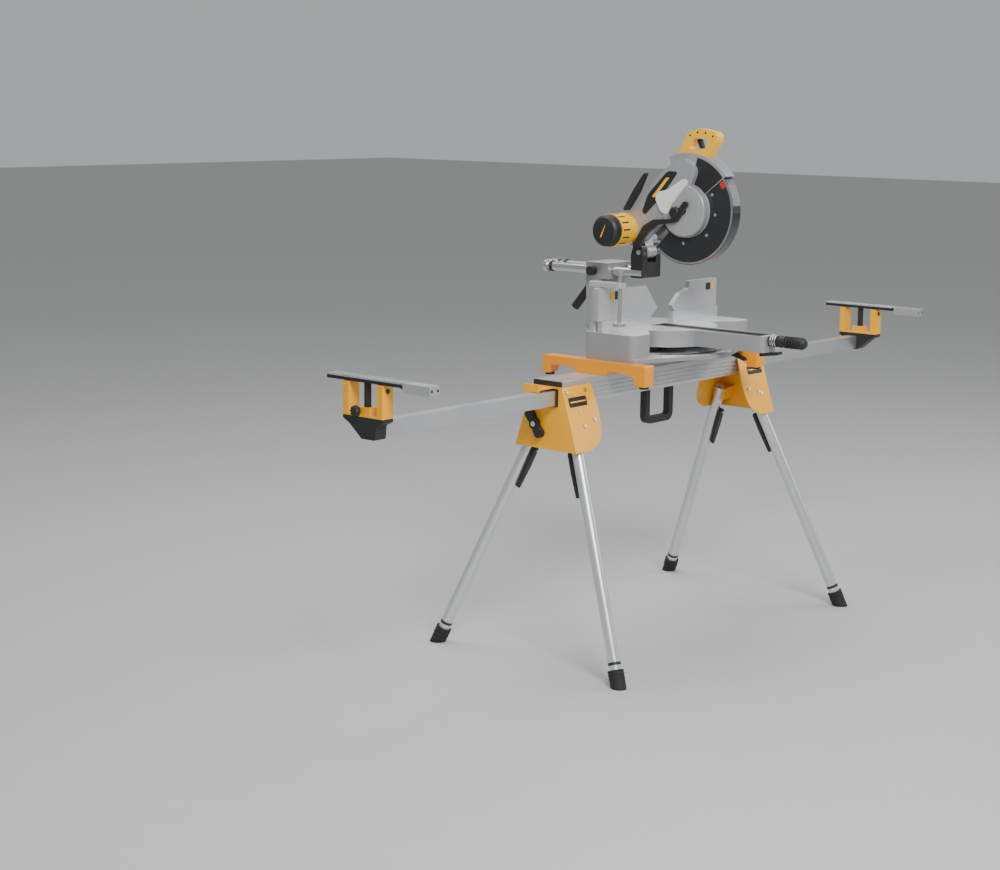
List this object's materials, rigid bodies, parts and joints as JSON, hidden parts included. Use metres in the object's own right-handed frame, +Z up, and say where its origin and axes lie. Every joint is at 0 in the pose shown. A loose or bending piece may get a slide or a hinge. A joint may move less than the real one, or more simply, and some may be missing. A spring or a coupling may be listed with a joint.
{
  "type": "mitre saw on stand",
  "caption": "Sliding compound mitre saw with tilting head on a folding leg stand that has telescopic work supports with flip-up stops.",
  "frame": {"origin": "on the floor under the middle of the stand's beam", "axes": "+X along the beam to the operator's right, +Y away from the operator, +Z up"},
  "size_m": [2.522, 0.929, 1.5134],
  "materials": {
    "yellow": "semi-gloss powder coat",
    "orange": "semi-gloss powder coat",
    "silver": "satin anodised",
    "casting": "painted cast aluminium",
    "machined": "machined",
    "black_plastic": "textured",
    "dark_metal": "satin black",
    "rubber": "matte",
    "steel": "ground",
    "zinc": "bright",
    "smoke": "smoked",
    "handle_yellow": "moulded",
    "white": "moulded"
  },
  "bodies": {
    "stand": {"beam": "silver", "beam_end_caps": "black_plastic", "head_left": "yellow", "head_right": "yellow", "stand_fasteners": "zinc", "carry_handle": "black_plastic"},
    "leg_front_left": {"leg_front_left": "silver"},
    "leg_lever_front_left": {"leg_lever_front_left": "black_plastic"},
    "leg_rear_left": {"leg_rear_left": "silver"},
    "leg_lever_rear_left": {"leg_lever_rear_left": "black_plastic"},
    "leg_front_right": {"leg_front_right": "silver"},
    "leg_lever_front_right": {"leg_lever_front_right": "black_plastic"},
    "leg_rear_right": {"leg_rear_right": "silver"},
    "leg_lever_rear_right": {"leg_lever_rear_right": "black_plastic"},
    "arm_left": {"arm_left": "silver", "support_bracket_left": "yellow"},
    "support_bar_left": {"support_bar_left": "silver"},
    "stop_plate_left": {"stop_plate_left": "silver"},
    "support_knob_left": {"support_knob_left": "black_plastic"},
    "arm_lock_left": {"arm_lock_left": "black_plastic"},
    "arm_right": {"arm_right": "silver", "support_bracket_right": "yellow"},
    "support_bar_right": {"support_bar_right": "silver"},
    "stop_plate_right": {"stop_plate_right": "silver"},
    "support_knob_right": {"support_knob_right": "black_plastic"},
    "arm_lock_right": {"arm_lock_right": "black_plastic"},
    "saw_base": {"mount_brackets": "orange", "bracket_pads": "rubber", "base_casting": "casting", "fixed_fence": "machined", "mitre_scale": "steel", "clamp_arm": "silver"},
    "bracket_lever_left": {"bracket_lever_left": "black_plastic"},
    "fence_left": {"fence_left": "machined"},
    "bracket_lever_right": {"bracket_lever_right": "black_plastic"},
    "fence_right": {"fence_right": "machined"},
    "clamp_screw": {"clamp_screw": "steel"},
    "table": {"turntable": "casting", "kerf_plates": "black_plastic"},
    "mitre_grip": {"mitre_grip": "black_plastic"},
    "detent_lever": {"detent_lever": "dark_metal"},
    "bevel": {"bevel_housing": "casting"},
    "bevel_lever": {"bevel_lever": "black_plastic"},
    "rail_knob": {"rail_knob": "black_plastic"},
    "slide_carriage": {"slide_rails": "steel", "pivot_block": "dark_metal", "chop_pin": "steel"},
    "head": {"arm_casting": "casting", "motor_housing": "handle_yellow", "motor_cap": "black_plastic", "top_handle": "handle_yellow", "carry_bar": "black_plastic", "guard_plate": "white"},
    "trigger": {"trigger": "black_plastic"},
    "lower_guard": {"lower_guard": "smoke"},
    "guard_link": {"guard_link": "dark_metal"},
    "blade": {"blade": "steel", "arbor": "steel"},
    "rotor": {"motor_rotor": "steel"}
  },
  "joints": [
    {"name": "leg_fold_front_left", "type": "hinge", "parent": "stand", "child": "leg_front_left", "pos_m": [-0.4543, -0.04735, 0.715], "axis": [0, -0.9264, 0.3766], "range_deg": [0, 99.83]},
    {"name": "leg_release_front_left", "type": "hinge", "parent": "leg_front_left", "child": "leg_lever_front_left", "pos_m": [-0.47401, -0.09021, 0.60957], "axis": [0, -0.9264, 0.3766], "range_deg": [0, 12], "stiffness_Nm_per_rad": 1.2},
    {"name": "leg_fold_rear_left", "type": "hinge", "parent": "stand", "child": "leg_rear_left", "pos_m": [-0.4543, 0.04735, 0.715], "axis": [0, -0.9264, -0.3766], "range_deg": [0, 99.83]},
    {"name": "leg_release_rear_left", "type": "hinge", "parent": "leg_rear_left", "child": "leg_lever_rear_left", "pos_m": [-0.47401, 0.09021, 0.60957], "axis": [0, -0.9264, -0.3766], "range_deg": [0, 12], "stiffness_Nm_per_rad": 1.2},
    {"name": "leg_fold_front_right", "type": "hinge", "parent": "stand", "child": "leg_front_right", "pos_m": [0.46308, -0.06646, 0.668], "axis": [0, 0.9264, -0.3766], "range_deg": [0, 99.83]},
    {"name": "leg_release_front_right", "type": "hinge", "parent": "leg_front_right", "child": "leg_lever_front_right", "pos_m": [0.47414, -0.09049, 0.60888], "axis": [0, 0.9264, -0.3766], "range_deg": [0, 12], "stiffness_Nm_per_rad": 1.2},
    {"name": "leg_fold_rear_right", "type": "hinge", "parent": "stand", "child": "leg_rear_right", "pos_m": [0.46308, 0.06646, 0.668], "axis": [0, 0.9264, 0.3766], "range_deg": [0, 99.83]},
    {"name": "leg_release_rear_right", "type": "hinge", "parent": "leg_rear_right", "child": "leg_lever_rear_right", "pos_m": [0.47414, 0.09049, 0.60888], "axis": [0, 0.9264, 0.3766], "range_deg": [0, 12], "stiffness_Nm_per_rad": 1.2},
    {"name": "arm_slide_left", "type": "slide", "parent": "stand", "child": "arm_left", "axis": [1, 0, 0], "range_m": [0, 0.62]},
    {"name": "support_height_left", "type": "slide", "parent": "arm_left", "child": "support_bar_left", "axis": [0, 0, 1], "range_m": [0, 0.05]},
    {"name": "stop_flip_left", "type": "hinge", "parent": "support_bar_left", "child": "stop_plate_left", "pos_m": [-1.235, -0.18, 0.885], "axis": [0, -1, 0], "range_deg": [0, 90]},
    {"name": "support_knob_turn_left", "type": "hinge", "parent": "arm_left", "child": "support_knob_left", "pos_m": [-1.245, 0.016, 0.812], "axis": [1, 0, 0], "range_deg": [0, 270]},
    {"name": "arm_lock_turn_left", "type": "hinge", "parent": "stand", "child": "arm_lock_left", "pos_m": [-0.509, 0.034, 0.686], "axis": [1, 0, 0], "range_deg": [0, 60]},
    {"name": "arm_slide_right", "type": "slide", "parent": "stand", "child": "arm_right", "axis": [-1, 0, 0], "range_m": [0, 0.62]},
    {"name": "support_height_right", "type": "slide", "parent": "arm_right", "child": "support_bar_right", "axis": [0, 0, 1], "range_m": [0, 0.05]},
    {"name": "stop_flip_right", "type": "hinge", "parent": "support_bar_right", "child": "stop_plate_right", "pos_m": [1.235, -0.18, 0.885], "axis": [0, 1, 0], "range_deg": [0, 90]},
    {"name": "support_knob_turn_right", "type": "hinge", "parent": "arm_right", "child": "support_knob_right", "pos_m": [1.245, 0.016, 0.812], "axis": [1, 0, 0], "range_deg": [0, 270]},
    {"name": "arm_lock_turn_right", "type": "hinge", "parent": "stand", "child": "arm_lock_right", "pos_m": [0.509, 0.034, 0.686], "axis": [1, 0, 0], "range_deg": [0, 60]},
    {"name": "saw_shift", "type": "slide", "parent": "stand", "child": "saw_base", "axis": [1, 0, 0], "range_m": [-0.06, 0.06]},
    {"name": "bracket_release_left", "type": "hinge", "parent": "saw_base", "child": "bracket_lever_left", "pos_m": [-0.262, -0.066, 0.832], "axis": [1, 0, 0], "range_deg": [0, 50]},
    {"name": "fence_slide_left", "type": "slide", "parent": "saw_base", "child": "fence_left", "axis": [1, 0, 0], "range_m": [-0.12, 0]},
    {"name": "bracket_release_right", "type": "hinge", "parent": "saw_base", "child": "bracket_lever_right", "pos_m": [0.262, -0.066, 0.832], "axis": [1, 0, 0], "range_deg": [0, 50]},
    {"name": "fence_slide_right", "type": "slide", "parent": "saw_base", "child": "fence_right", "axis": [1, 0, 0], "range_m": [0, 0.12]},
    {"name": "clamp_press", "type": "slide", "parent": "saw_base", "child": "clamp_screw", "axis": [0, 0, 1], "range_m": [-0.02, 0.02]},
    {"name": "mitre_turn", "type": "hinge", "parent": "saw_base", "child": "table", "pos_m": [0.012, -0.02, 0.93], "axis": [0, 0, 1], "range_deg": [-50, 50]},
    {"name": "mitre_grip_turn", "type": "hinge", "parent": "table", "child": "mitre_grip", "pos_m": [0.012, -0.405, 0.916], "axis": [0, 1, 0], "range_deg": [0, 90]},
    {"name": "detent_press", "type": "hinge", "parent": "table", "child": "detent_lever", "pos_m": [0.012, -0.38, 0.873], "axis": [1, 0, 0], "range_deg": [0, 10], "stiffness_Nm_per_rad": 0.5},
    {"name": "bevel_tilt", "type": "hinge", "parent": "table", "child": "bevel", "pos_m": [0.012, 0.168, 0.93], "axis": [0, 1, 0], "range_deg": [-45, 45]},
    {"name": "bevel_lock_turn", "type": "hinge", "parent": "bevel", "child": "bevel_lever", "pos_m": [-0.008, 0.226, 1.036], "axis": [0, 1, 0], "range_deg": [0, 35]},
    {"name": "rail_knob_turn", "type": "hinge", "parent": "bevel", "child": "rail_knob", "pos_m": [-0.068, 0.188, 1.082], "axis": [1, 0, 0], "range_deg": [0, 270]},
    {"name": "head_slide", "type": "slide", "parent": "bevel", "child": "slide_carriage", "axis": [0, -1, 0], "range_m": [-0.05, 0.13]},
    {"name": "chop", "type": "hinge", "parent": "slide_carriage", "child": "head", "pos_m": [0.012, 0.04, 1.145], "axis": [1, 0, 0], "range_deg": [0, 62.1], "stiffness_Nm_per_rad": 9, "springref_deg": -28.65},
    {"name": "trigger_squeeze", "type": "hinge", "parent": "head", "child": "trigger", "pos_m": [0.012, -0.139, 1.479], "axis": [1, 0, 0], "range_deg": [0, 6], "stiffness_Nm_per_rad": 0.4},
    {"name": "guard_turn", "type": "hinge", "parent": "head", "child": "lower_guard", "pos_m": [0.012, -0.116, 1.276], "axis": [1, 0, 0], "range_deg": [0, 118]},
    {"name": "guard_link_turn", "type": "hinge", "parent": "slide_carriage", "child": "guard_link", "pos_m": [0.012, 0.046, 1.156], "axis": [1, 0, 0], "range_deg": [0, 62.1]},
    {"name": "blade_spin", "type": "hinge", "parent": "head", "child": "blade", "pos_m": [0.012, -0.116, 1.276], "axis": [1, 0, 0], "continuous": true},
    {"name": "rotor_spin", "type": "hinge", "parent": "head", "child": "rotor", "pos_m": [0.012, 0.098, 1.21], "axis": [1, 0, 0], "continuous": true}
  ],
  "couplings": [
    {"joint": "guard_turn", "follows": "chop", "ratio": 1.8982},
    {"joint": "guard_link_turn", "follows": "chop", "ratio": 1},
    {"joint": "rotor_spin", "follows": "blade_spin", "ratio": 4}
  ]
}
